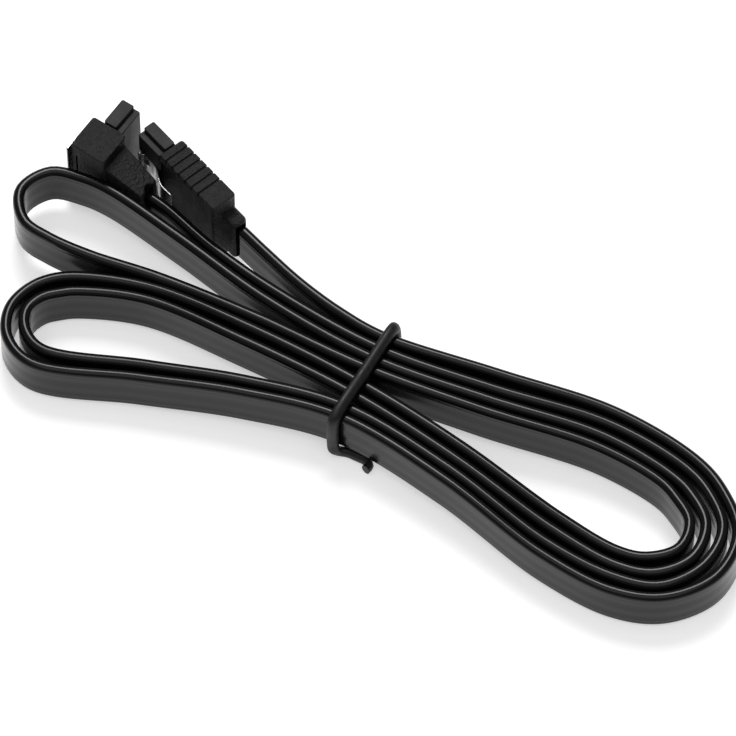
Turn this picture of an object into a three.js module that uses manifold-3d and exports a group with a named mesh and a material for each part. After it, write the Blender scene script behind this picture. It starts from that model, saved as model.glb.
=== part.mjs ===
// Flat seven-conductor data cable, folded into a hank and held by a twist tie.
// One end has a straight plug, the other a right-angle plug. Millimetres, +Z up.
// The ribbon stands on edge, and the plugs lie with their wide side upright.
import * as THREE from 'three';
import Module from 'manifold-3d';
import { mergeVertices, mergeGeometries } from 'three/addons/utils/BufferGeometryUtils.js';

const wasm = await Module();
wasm.setup();

// Gap kept between pieces that touch on the real cable
const FIT = 0.25;

// Ribbon
const RIBBON_WIDTH = 7.8;
const RIBBON_THICKNESS = 1.7;
const RIBBON_EDGE_ROUND = 0.75;
const RIBBON_EDGE = [[0, 1], [0.3, 0.37], [0.7, 0]];

// Plug noses. The latch lies on the +Y side of each, and key is the rib along its narrow sides.
const PLUG_WIDTH = 14.4;
const STRAIGHT_NOSE = { length: 5.3, bottom: -1.25, top: 2.0, keyBottom: -1.05, keyTop: 0.9, footSide: 1 };
const ANGLE_NOSE = { length: 5, bottom: -1.95, top: 1.45, keyBottom: -0.85, keyTop: 1.35, footSide: -1 };
const NOSE_KEY_INSET = 0.2;
const NOSE_LEDGE_DROP = 0.75;
const NOSE_CORNER = 0.25;
const NOSE_EDGE = 0.15;
const TENON_LENGTH = 1.6;
const TENON_BOTTOM = -0.95;
const TENON_TOP = 1.1;
const TENON_INSET = 1.2;

// L-shaped slot that takes the blade of the socket
const SLOT_LENGTH = 10.4;
const SLOT_THICKNESS = 1.3;
const SLOT_PAST_SHELL = 0.7;
const SLOT_FOOT_REACH = 0.95;
const SLOT_FOOT_LENGTH = 1.5;

// Spring contacts
const CONTACT_COUNT = 7;
const CONTACT_PITCH = 1.27;
const CONTACT_WIDTH = 0.5;
const CONTACT_THICKNESS = 0.2;
const CONTACT_BOW = 0.3;
const CONTACT_GAP = 0.1;
const CONTACT_SETBACK = 0.6;
const CONTACT_CROWN = 1.1;
const CONTACT_FLAT = 1.6;

// Steel latch spring
const LATCH_WIDTH = 4.4;
const LATCH_THICKNESS = 0.25;
const LATCH_CHANNEL_DEPTH = 0.45;
const LATCH_GAP = 0.15;
const LATCH_TAB_LENGTH = 2.3;
const LATCH_BARB = 0.5;
const LATCH_SETBACK = 0.2;
const LATCH_BEND = 2.2;
const LATCH_EASE = [[0.275, 0.12], [0.775, 0.8]];

// Straight plug shell
const STRAIGHT_LENGTH = 12.6;
const STRAIGHT_THICKNESS = 4.4;
const SHELL_CORNER = 0.5;
const SHELL_BEVEL = 0.25;
const GRIP_COUNT = 6;
const GRIP_FIRST = 1.3;
const GRIP_PITCH = 1.5;
const GRIP_WIDTH = 0.35;
const GRIP_DEPTH = 0.3;
const GRIP_WRAP = 1.2;
const RECESS_DEPTH = 0.3;
const RECESS_MARGIN = 1.5;
const RECESS_REAR = 0.5;
const LATCH_RECESS_LENGTH = 7.3;
const LATCH_RECESS_DEPTH = 0.35;
const STRAIGHT_LATCH = { crest: -1.8, rear: 4.1, tabLift: 1.05, tabWidth: LATCH_WIDTH };
const STRAIGHT_RELIEF = {
  length: 2.8, thickness: 2.7, bottom: 1.9, top: 11.1, round: 0.8, sink: 1, inset: 0.02,
};

// Right-angle plug shell
const ANGLE_LENGTH = 6;
const ANGLE_THICKNESS = 6.1;
const ANGLE_LATCH = { crest: 0.3, rear: 6.4, tabLift: 0.2, tabWidth: 12.6 };
const SLIT = { fromLatchSide: 0.95, width: 0.3, depth: 0.4, bottom: 2.3, top: 12.2 };
const ANGLE_RELIEF = {
  reach: 6.4, bottom: 0.3, rootTop: 12.4, endTop: 10.0,
  rootFront: -0.35, rootBack: -5.55, endFront: -1.7, endBack: -5.45, skew: 0.2, sink: 0.5,
};

// Twist tie. Its ends are given from its front leg: across the leg, towards the hank, up.
const TIE_DIAMETER = 1.4;
const TIE_CORNER = 1.5;
const TIE_SIDES = 8;
const TIE_X = -0.6;
const TIE_OFFSET = 0.45;
const TIE_TURN = -4.5;
const TIE_DIP = 0.04;
const TIE_GAP = 0.3;
const TIE_STUB = [
  [5.6, -0.2, 0], [5.7, 0.7, 0], [4.8, 1.2, 0], [3.4, 1.2, 0], [1.9, 1.1, 0],
  [0.7, 0.6, 0.35], [0.2, 0, 1.5], [0, 0, 3],
];
const TIE_TAIL = [[0, 5, 0], [-0.3, 3.7, 0], [-0.7, 2.5, 0]];

// Moves the whole cable so that the middle of its outline stands over the origin
const HANK_SHIFT = { x: 0.15, y: 0.03 };

// Where each shell's front face stands, and the way its nose points in degrees
const STRAIGHT_PLACE = { x: -41.68, y: 17.27, heading: 155 };
const ANGLE_PLACE = { x: -51.45, y: 16.85, heading: 80.3 };

// Where the ribbon leaves each plug, in the plug's own frame, and how far it stands off
const STRAIGHT_EXIT = {
  x: -STRAIGHT_LENGTH - STRAIGHT_RELIEF.length,
  y: (STRAIGHT_RELIEF.thickness - STRAIGHT_THICKNESS) / 2,
};
const ANGLE_EXIT = {
  x: (ANGLE_RELIEF.endFront + ANGLE_RELIEF.endBack) / 2,
  y: -ANGLE_THICKNESS / 2 - ANGLE_RELIEF.reach,
};
const EXIT_GAP = 0.3;

// The ribbon's end beside a plug: the plug's exit, moved by the gap along the way out
function ribbonEnd(place, exit, outward, lift) {
  const turn = THREE.MathUtils.degToRad(place.heading);
  const x = exit.x + EXIT_GAP * outward.x;
  const y = exit.y + EXIT_GAP * outward.y;
  return [
    place.x + x * Math.cos(turn) - y * Math.sin(turn),
    place.y + x * Math.sin(turn) + y * Math.cos(turn), lift,
  ];
}

// The ribbon's lower edge stands this high where the tie passes under it
const TIE_LIFT = TIE_DIAMETER + TIE_GAP;

// Route of the ribbon's middle in plan, with the height of its lower edge: x, y, lift.
// The points of neighbouring turns stand side by side, so that the turns stay apart.
const ROUTE = [
  // from the straight plug to the tie
  ribbonEnd(STRAIGHT_PLACE, STRAIGHT_EXIT, { x: -1, y: 0 }, 2.2),
  [-22.5, 9.5, 2.1], [-15.6, 6.9, 1.9], [-8, 4.85, 1.8], [TIE_X, 3.85, TIE_LIFT],
  // right loop, outermost turn
  [17.4, 5.5, 1.2], [35.4, 7.3, 0.3], [49.2, 5.0, 0], [54.8, 1.95, 0], [59.75, -3.65, 0],
  [59.9, -11.4, 0], [54.7, -17.75, 0], [47.3, -20.15, 0], [35.4, -19.1, 0.3], [17.4, -14.2, 1.4],
  [TIE_X, -11.25, TIE_LIFT],
  // lower left loop, outer turn
  [-15.6, -13.3, 1.3], [-30.6, -17.1, 0.6], [-46.3, -21.2, 0], [-51.4, -18.55, 0], [-53.2, -14, 0],
  [-52.1, -9.7, 0], [-49.6, -6.7, 0], [-45.8, -4.6, 0], [-35.6, -2.2, 0.35], [-19.6, -2.7, 1.2],
  [TIE_X, -4.75, TIE_LIFT],
  // right loop, innermost turn
  [17.4, -8, 1.2], [35.4, -12.4, 0.3], [45, -13.8, 0], [49.35, -12.95, 0], [53.05, -9.55, 0],
  [52.65, -5, 0], [49.15, -2.05, 0], [46, -0.5, 0], [35.4, 0.85, 0.3], [17.4, -1.1, 1.2],
  [TIE_X, -2.05, TIE_LIFT],
  // upper left loop
  [-19.6, -0.7, 1.2], [-35.5, -0.35, 0.7], [-46.2, -1.55, 1.4], [-52.9, -1.65, 2], [-57.4, -0.6, 2.2],
  [-60.15, 3.9, 2.3], [-57.6, 8.6, 2.3], [-52.7, 9.65, 2.3], [-48.1, 9.5, 2.2], [-35.4, 6.75, 1.6],
  [-19.6, 2.65, 1.4], [TIE_X, -0.15, TIE_LIFT],
  // right loop, third turn
  [17.4, 0.9, 1.2], [35.4, 2.85, 0.3], [46.95, 1.15, 0], [50.95, -0.6, 0], [55, -4.4, 0],
  [55.4, -10.2, 0], [51.4, -14.8, 0], [45.8, -16.05, 0], [35.4, -14.7, 0.3], [17.4, -10.25, 1.2],
  [TIE_X, -6.95, TIE_LIFT],
  // lower left loop, inner turn
  [-19.6, -5.1, 1.2], [-35.6, -4.4, 0.35], [-45.4, -7.2, 0], [-47.7, -8.6, 0], [-49.7, -10.35, 0],
  [-50.8, -13.35, 0], [-49.4, -16.5, 0], [-45.8, -18.4, 0], [-30.6, -14.7, 0.6], [-15.6, -11.2, 1.3],
  [TIE_X, -9.4, TIE_LIFT],
  // right loop, second turn
  [17.4, -12.2, 1.2], [35.4, -17.05, 0.3], [46.5, -17.95, 0], [53.1, -16.35, 0], [57.4, -10.7, 0],
  [57.5, -4.05, 0], [53.1, 0.8, 0], [48.15, 3.25, 0], [35.4, 5.1, 0.3], [17.4, 2.9, 1.2],
  [TIE_X, 1.75, TIE_LIFT],
  // from the tie to the right-angle plug
  [-19.6, 4.65, 1.3], [-31, 7.7, 1.1], [-39.3, 10.85, 0.9],
  ribbonEnd(ANGLE_PLACE, ANGLE_EXIT, { x: 0, y: -1 }, 0.8),
];

const COLOURS = {
  jacket: { color: 0x17181a, roughness: 0.38, metalness: 0 },
  moulding: { color: 0x1c1d1f, roughness: 0.5, metalness: 0 },
  housing: { color: 0x141516, roughness: 0.42, metalness: 0 },
  steel: { color: 0xb9bcc0, roughness: 0.28, metalness: 1 },
  gold: { color: 0xc8a04a, roughness: 0.3, metalness: 1 },
  tie: { color: 0x1a1b1c, roughness: 0.45, metalness: 0 },
};

const cable = new THREE.Group();

function addPiece(parent, name, geometry, finish) {
  const piece = new THREE.Mesh(geometry, new THREE.MeshStandardMaterial(COLOURS[finish]));
  piece.name = name;
  parent.add(piece);
  return piece;
}

// Turns a closed geometry into a solid that can be joined and cut
function solid(geometry) {
  const bare = geometry.clone();
  bare.deleteAttribute('normal');
  bare.deleteAttribute('uv');
  const merged = mergeVertices(bare, 1e-5);
  return new wasm.Manifold(new wasm.Mesh({
    numProp: 3,
    vertProperties: new Float32Array(merged.attributes.position.array),
    triVerts: new Uint32Array(merged.index.array),
  }));
}

function geometryOf(body) {
  const mesh = body.getMesh();
  const geometry = new THREE.BufferGeometry();
  geometry.setAttribute('position', new THREE.BufferAttribute(new Float32Array(mesh.vertProperties), 3));
  geometry.setIndex(new THREE.BufferAttribute(new Uint32Array(mesh.triVerts), 1));
  const faceted = geometry.toNonIndexed();
  faceted.computeVertexNormals();
  return faceted;
}

// A block given by its lowest and highest corners
function block(x0, y0, z0, x1, y1, z1) {
  const box = new THREE.BoxGeometry(x1 - x0, y1 - y0, z1 - z0);
  box.translate((x0 + x1) / 2, (y0 + y1) / 2, (z0 + z1) / 2);
  return solid(box);
}

// Outline of a rectangle with equal round corners
function roundedOutline(x0, y0, x1, y1, radius) {
  const outline = new THREE.Shape();
  outline.moveTo(x0 + radius, y0);
  outline.lineTo(x1 - radius, y0);
  outline.absarc(x1 - radius, y0 + radius, radius, -Math.PI / 2, 0);
  outline.lineTo(x1, y1 - radius);
  outline.absarc(x1 - radius, y1 - radius, radius, 0, Math.PI / 2);
  outline.lineTo(x0 + radius, y1);
  outline.absarc(x0 + radius, y1 - radius, radius, Math.PI / 2, Math.PI);
  outline.lineTo(x0, y0 + radius);
  outline.absarc(x0 + radius, y0 + radius, radius, Math.PI, Math.PI * 1.5);
  return outline;
}

// Upright prism with round vertical edges and bevelled ends
function moulding(x0, y0, z0, x1, y1, z1, corner, bevel) {
  const outline = roundedOutline(x0 + bevel, y0 + bevel, x1 - bevel, y1 - bevel, corner - bevel);
  const prism = new THREE.ExtrudeGeometry(outline, {
    depth: z1 - z0 - 2 * bevel, curveSegments: 4, bevelEnabled: true,
    bevelThickness: bevel, bevelSize: bevel, bevelSegments: 2,
  });
  prism.translate(0, 0, z0 + bevel);
  return solid(prism);
}

// A path whose steps are exactly the given points, with the section kept upright
class UprightPath extends THREE.Curve {
  constructor(points) {
    super();
    this.points = points;
  }

  getPoint(t, target = new THREE.Vector3()) {
    const place = t * (this.points.length - 1);
    const index = Math.min(Math.floor(place), this.points.length - 2);
    return target.lerpVectors(this.points[index], this.points[index + 1], place - index);
  }

  getSpacedPoints() {
    return this.points.map((point) => point.clone());
  }

  computeFrenetFrames() {
    const last = this.points.length - 1;
    const up = new THREE.Vector3(0, 0, 1);
    const tangents = this.points.map((point, i) => {
      const back = i > 0 ? point.clone().sub(this.points[i - 1]).normalize() : new THREE.Vector3();
      const ahead = i < last ? this.points[i + 1].clone().sub(point).normalize() : new THREE.Vector3();
      return back.add(ahead).normalize();
    });
    const normals = tangents.map((tangent) => new THREE.Vector3().crossVectors(up, tangent).normalize());
    const binormals = tangents.map(() => up.clone());
    return { tangents, normals, binormals };
  }
}

function ribbonSection() {
  const halfWidth = RIBBON_WIDTH / 2;
  const halfThickness = RIBBON_THICKNESS / 2;
  const section = new THREE.Shape();
  const quarter = RIBBON_EDGE.map(([across, along]) => [
    halfThickness * (1 - across), halfWidth - along * RIBBON_EDGE_ROUND,
  ]);
  const points = [
    ...quarter,
    ...quarter.map(([x, y]) => [-x, y]).reverse(),
    ...quarter.map(([x, y]) => [-x, -y]),
    ...quarter.map(([x, y]) => [x, -y]).reverse(),
  ];
  section.setFromPoints(points.map(([x, y]) => new THREE.Vector2(x, y)));
  return section;
}

function makeRibbon() {
  const points = ROUTE.map(([x, y, lift]) => new THREE.Vector3(x, y, lift + RIBBON_WIDTH / 2));
  const ribbon = new THREE.ExtrudeGeometry(ribbonSection(), {
    steps: points.length - 1, extrudePath: new UprightPath(points), bevelEnabled: false,
  });
  addPiece(cable, 'ribbon_cable', geometryOf(solid(ribbon)), 'jacket');
}

// Nose with its key along both narrow sides, the slot, the latch's channel and the tenon
function makeHousing(parent, name, nose) {
  const middle = PLUG_WIDTH / 2;
  const key = middle - NOSE_KEY_INSET;
  const ledge = key - NOSE_LEDGE_DROP;
  const tenon = middle - TENON_INSET;
  let body = moulding(
    FIT, nose.bottom, middle - ledge, nose.length, nose.top, middle + ledge, NOSE_CORNER, NOSE_EDGE,
  );
  body = body.add(moulding(
    FIT, nose.keyBottom, middle - key, nose.length, nose.keyTop, middle + key, NOSE_CORNER, NOSE_EDGE,
  ));
  body = body.add(block(
    -TENON_LENGTH, TENON_BOTTOM, middle - tenon, FIT + NOSE_CORNER, TENON_TOP, middle + tenon,
  ));
  const half = SLOT_THICKNESS / 2;
  const low = middle - SLOT_LENGTH / 2;
  const foot = nose.footSide * (half + SLOT_FOOT_REACH);
  const mouth = nose.length + 1;
  body = body.subtract(block(-SLOT_PAST_SHELL, -half, low, mouth, half, middle + SLOT_LENGTH / 2));
  body = body.subtract(block(
    -SLOT_PAST_SHELL, Math.min(0, foot), low, mouth, Math.max(0, foot), low + SLOT_FOOT_LENGTH,
  ));
  const channel = LATCH_WIDTH / 2 + FIT;
  body = body.subtract(block(
    0, nose.top - LATCH_CHANNEL_DEPTH, middle - channel, mouth, nose.top + 1, middle + channel,
  ));
  addPiece(parent, name, geometryOf(body), 'housing');
}

// One bowed spring contact, seen edge on, standing off the slot's wall away from the foot
function contactOutline(nose) {
  const side = -nose.footSide;
  const wall = SLOT_THICKNESS / 2 - CONTACT_GAP;
  const face = wall - CONTACT_THICKNESS;
  const back = FIT - SLOT_PAST_SHELL;
  const tip = nose.length - CONTACT_SETBACK;
  const crown = tip - CONTACT_CROWN;
  const flat = back + CONTACT_FLAT;
  const ease = CONTACT_CROWN / 2;
  const outline = new THREE.Shape();
  outline.moveTo(back, side * face);
  outline.lineTo(flat, side * face);
  outline.quadraticCurveTo(crown - ease, side * face, crown, side * (face - CONTACT_BOW));
  outline.quadraticCurveTo(crown + ease, side * (face - CONTACT_BOW), tip, side * face);
  outline.lineTo(tip, side * wall);
  outline.quadraticCurveTo(crown + ease, side * (wall - CONTACT_BOW), crown, side * (wall - CONTACT_BOW));
  outline.quadraticCurveTo(crown - ease, side * wall, flat, side * wall);
  outline.lineTo(back, side * wall);
  return outline;
}

function makeContacts(parent, prefix, nose) {
  for (let i = 0; i < CONTACT_COUNT; i += 1) {
    const strip = new THREE.ExtrudeGeometry(contactOutline(nose), {
      depth: CONTACT_WIDTH, bevelEnabled: false, curveSegments: 4,
    });
    const offset = (i - (CONTACT_COUNT - 1) / 2) * CONTACT_PITCH;
    const contact = addPiece(parent, `${prefix}_${i + 1}`, strip, 'gold');
    contact.position.z = PLUG_WIDTH / 2 + offset - CONTACT_WIDTH / 2;
  }
}

// A band of the given width along a bent line, as thick as the latch's sheet
function bentSheet(line, width) {
  const points = line.map(([x, y]) => new THREE.Vector2(x, y));
  const outer = points.map((point, i) => {
    const before = points[Math.max(i - 1, 0)];
    const after = points[Math.min(i + 1, points.length - 1)];
    const along = after.clone().sub(before).normalize();
    return new THREE.Vector2(point.x + along.y * LATCH_THICKNESS, point.y - along.x * LATCH_THICKNESS);
  });
  const sheet = new THREE.ExtrudeGeometry(new THREE.Shape([...points, ...outer.reverse()]), {
    depth: width, bevelEnabled: false,
  });
  sheet.translate(0, 0, (PLUG_WIDTH - width) / 2);
  return solid(sheet);
}

// Bent strip that lies in the nose's channel, arches over the shell and ends in the release tab
function makeLatch(parent, name, nose, latch, shellFace) {
  const face = nose.top - LATCH_CHANNEL_DEPTH + LATCH_GAP;
  const tab = shellFace + latch.tabLift;
  const rise = tab - face;
  const run = LATCH_BEND - latch.crest;
  const [early, late] = LATCH_EASE.map(([along, up]) => [LATCH_BEND - along * run, face + up * rise]);
  const tip = nose.length - LATCH_SETBACK;
  const strip = bentSheet([
    [tip, face + LATCH_BARB / 2], [tip - LATCH_BARB, face + LATCH_BARB], [tip - 2 * LATCH_BARB, face],
    [LATCH_BEND, face], early, late, [latch.crest, tab], [-latch.rear, tab],
  ], LATCH_WIDTH);
  const wide = bentSheet([[LATCH_TAB_LENGTH - latch.rear, tab], [-latch.rear, tab]], latch.tabWidth);
  addPiece(parent, name, geometryOf(strip.add(wide)), 'steel');
}

// Pocket in a shell's front for the housing's tenon
function tenonPocket() {
  return block(
    -TENON_LENGTH - FIT, TENON_BOTTOM - FIT, TENON_INSET - FIT,
    1, TENON_TOP + FIT, PLUG_WIDTH - TENON_INSET + FIT,
  );
}

// Grooves across both narrow sides, wrapping a little way onto the wide sides
function cutGrips(shell) {
  let cut = shell;
  const half = STRAIGHT_THICKNESS / 2;
  for (let i = 0; i < GRIP_COUNT; i += 1) {
    const x = -(GRIP_FIRST + i * GRIP_PITCH);
    for (const [low, high] of [[-1, GRIP_DEPTH], [PLUG_WIDTH - GRIP_DEPTH, PLUG_WIDTH + 1]]) {
      cut = cut.subtract(block(x - GRIP_WIDTH, -half - 1, low, x, half + 1, high));
    }
    for (const [low, high] of [[-1, GRIP_WRAP], [PLUG_WIDTH - GRIP_WRAP, PLUG_WIDTH + 1]]) {
      cut = cut.subtract(block(x - GRIP_WIDTH, half - GRIP_DEPTH, low, x, half + 1, high));
      cut = cut.subtract(block(x - GRIP_WIDTH, -half - 1, low, x, GRIP_DEPTH - half, high));
    }
  }
  return cut;
}

function makeStraightShell(parent) {
  const half = STRAIGHT_THICKNESS / 2;
  let shell = moulding(-STRAIGHT_LENGTH, -half, 0, 0, half, PLUG_WIDTH, SHELL_CORNER, SHELL_BEVEL);
  shell = cutGrips(shell);
  const top = PLUG_WIDTH - RECESS_MARGIN;
  shell = shell.subtract(block(
    RECESS_REAR - STRAIGHT_LENGTH, half - RECESS_DEPTH, RECESS_MARGIN, 1, half + 1, top,
  ));
  shell = shell.subtract(block(
    RECESS_REAR - STRAIGHT_LENGTH, -half - 1, RECESS_MARGIN, 1, RECESS_DEPTH - half, top,
  ));
  shell = shell.subtract(block(
    -LATCH_RECESS_LENGTH, half - RECESS_DEPTH - LATCH_RECESS_DEPTH, RECESS_MARGIN, 1, half + 1, top,
  ));
  const relief = STRAIGHT_RELIEF;
  shell = shell.add(moulding(
    -STRAIGHT_LENGTH - relief.length, relief.inset - half, relief.bottom,
    relief.sink - STRAIGHT_LENGTH, relief.thickness - half, relief.top, relief.round, SHELL_BEVEL,
  ));
  addPiece(parent, 'straight_shell', geometryOf(shell.subtract(tenonPocket())), 'moulding');
}

// Tapered arm that carries the ribbon out of the side of the right-angle plug
function angleRelief() {
  const arm = ANGLE_RELIEF;
  const root = arm.sink - ANGLE_THICKNESS / 2;
  const end = -ANGLE_THICKNESS / 2 - arm.reach;
  const corners = [
    [arm.rootBack, root, arm.bottom], [arm.rootFront, root, arm.bottom],
    [arm.rootFront, root, arm.rootTop], [arm.rootBack, root, arm.rootTop],
    [arm.endBack, end + arm.skew / 2, arm.bottom], [arm.endFront, end - arm.skew / 2, arm.bottom],
    [arm.endFront, end - arm.skew / 2, arm.endTop], [arm.endBack, end + arm.skew / 2, arm.endTop],
  ];
  return wasm.Manifold.hull(corners);
}

function makeAngleShell(parent) {
  const half = ANGLE_THICKNESS / 2;
  let shell = moulding(-ANGLE_LENGTH, -half, 0, 0, half, PLUG_WIDTH, SHELL_CORNER, SHELL_BEVEL);
  shell = shell.add(angleRelief());
  const slit = half - SLIT.fromLatchSide;
  shell = shell.subtract(block(
    -ANGLE_LENGTH - 1, slit - SLIT.width, SLIT.bottom, SLIT.depth - ANGLE_LENGTH, slit, SLIT.top,
  ));
  addPiece(parent, 'angle_shell', geometryOf(shell.subtract(tenonPocket())), 'moulding');
}

function makePlug(place, prefix, nose, latch, makeShell, shellFace) {
  const plug = new THREE.Group();
  plug.position.set(place.x, place.y, 0);
  plug.rotation.z = THREE.MathUtils.degToRad(place.heading);
  makeShell(plug);
  makeHousing(plug, `${prefix}_housing`, nose);
  makeLatch(plug, `${prefix}_latch`, nose, latch, shellFace);
  makeContacts(plug, `${prefix}_contact`, nose);
  cable.add(plug);
}

// The tie's wire: a stub on the floor, up the front, over the hank, down behind and under it
function tiePath(span) {
  const radius = TIE_DIAMETER / 2;
  const low = radius + TIE_DIP;
  const high = TIE_LIFT + RIBBON_WIDTH + TIE_GAP + radius;
  const back = span / 2 + TIE_GAP + radius;
  const front = -back;
  const bend = TIE_CORNER;
  const cut = bend * (1 - Math.SQRT1_2);
  const fromFront = ([x, y, z]) => [x, front + y, low + z];
  return [
    ...TIE_STUB.map(fromFront),
    [0, front, high - bend], [0, front + cut, high - cut], [0, front + bend, high], [0, 0, high],
    [0, back - bend, high], [0, back - cut, high - cut], [0, back, high - bend],
    [0, back, low + bend], [0, back - cut, low + cut], [0, back - bend, low], [0, back - 2 * bend, low],
    ...TIE_TAIL.map(fromFront),
  ].map(([x, y, z]) => new THREE.Vector3(x, y, z));
}

function makeTie() {
  const crossings = ROUTE.filter(([x]) => x === TIE_X).map(([, y]) => y);
  const frontmost = Math.min(...crossings) - RIBBON_THICKNESS / 2;
  const rearmost = Math.max(...crossings) + RIBBON_THICKNESS / 2;
  const route = new THREE.CatmullRomCurve3(tiePath(rearmost - frontmost), false, 'centripetal');
  const ring = Array.from({ length: TIE_SIDES }, (_, i) => {
    const angle = (i / TIE_SIDES) * Math.PI * 2;
    return new THREE.Vector2(Math.cos(angle), Math.sin(angle)).multiplyScalar(TIE_DIAMETER / 2);
  });
  const wire = new THREE.ExtrudeGeometry(new THREE.Shape(ring), {
    steps: 70, extrudePath: route, bevelEnabled: false,
  });
  const tie = addPiece(cable, 'twist_tie', geometryOf(solid(wire)), 'tie');
  tie.position.set(TIE_X + TIE_OFFSET, (frontmost + rearmost) / 2, 0);
  tie.rotation.z = THREE.MathUtils.degToRad(TIE_TURN);
}

cable.position.set(HANK_SHIFT.x, HANK_SHIFT.y, 0);
makeRibbon();
makePlug(
  STRAIGHT_PLACE, 'straight', STRAIGHT_NOSE, STRAIGHT_LATCH, makeStraightShell, STRAIGHT_THICKNESS / 2,
);
makePlug(ANGLE_PLACE, 'angle', ANGLE_NOSE, ANGLE_LATCH, makeAngleShell, ANGLE_THICKNESS / 2);
makeTie();

export default cable;
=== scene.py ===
"""A flat data cable folded into a hank, with a straight plug and a right-angle plug.

Sizes are written in millimetres in the classes and turned into metres when a piece is placed.
"""
import logging
import math
from dataclasses import dataclass
from enum import Enum
from typing import Sequence

import bmesh
import bpy
from mathutils import Matrix, Vector


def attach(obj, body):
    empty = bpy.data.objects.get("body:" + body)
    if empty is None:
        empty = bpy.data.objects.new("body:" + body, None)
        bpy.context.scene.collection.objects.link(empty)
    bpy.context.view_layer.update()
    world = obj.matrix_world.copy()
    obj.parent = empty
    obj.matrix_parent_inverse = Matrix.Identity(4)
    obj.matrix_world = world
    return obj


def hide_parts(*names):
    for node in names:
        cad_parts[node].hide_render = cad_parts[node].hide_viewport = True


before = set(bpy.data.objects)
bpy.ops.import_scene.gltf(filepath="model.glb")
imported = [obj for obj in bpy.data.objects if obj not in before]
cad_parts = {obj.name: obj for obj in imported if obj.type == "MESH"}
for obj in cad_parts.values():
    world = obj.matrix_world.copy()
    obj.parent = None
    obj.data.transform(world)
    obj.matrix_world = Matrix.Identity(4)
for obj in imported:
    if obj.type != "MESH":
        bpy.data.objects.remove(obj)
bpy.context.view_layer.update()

log = logging.getLogger("cable")

MM = 0.001
HANK_SHIFT = Vector((0.15, 0.03, 0.0))
CURVE_STEPS = 24
STEEP = 0.9
Point = tuple[float, float, float]


class Cut(Enum):
    """How one solid changes another."""

    CARVE = "DIFFERENCE"
    JOIN = "UNION"


class Handed(Enum):
    """The plug that a piece belongs to."""

    STRAIGHT = "straight"
    ANGLE = "angle"


# Finishes


class Finish:
    """A finish made of shader nodes, shared by every piece that has it."""

    name: str = "finish"

    def build(self, nodes: "Nodes") -> None:
        """Adds this finish's own nodes.

        Args:
            nodes: The material's node tree with its shader.
        """
        raise NotImplementedError

    def material(self) -> bpy.types.Material:
        """Makes the material, or finds the one made before.

        Returns:
            The material of this finish.
        """
        found = bpy.data.materials.get(self.name)
        if found is not None:
            return found
        made = bpy.data.materials.new(self.name)
        made.use_nodes = True
        self.build(Nodes(made))
        return made


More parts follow.
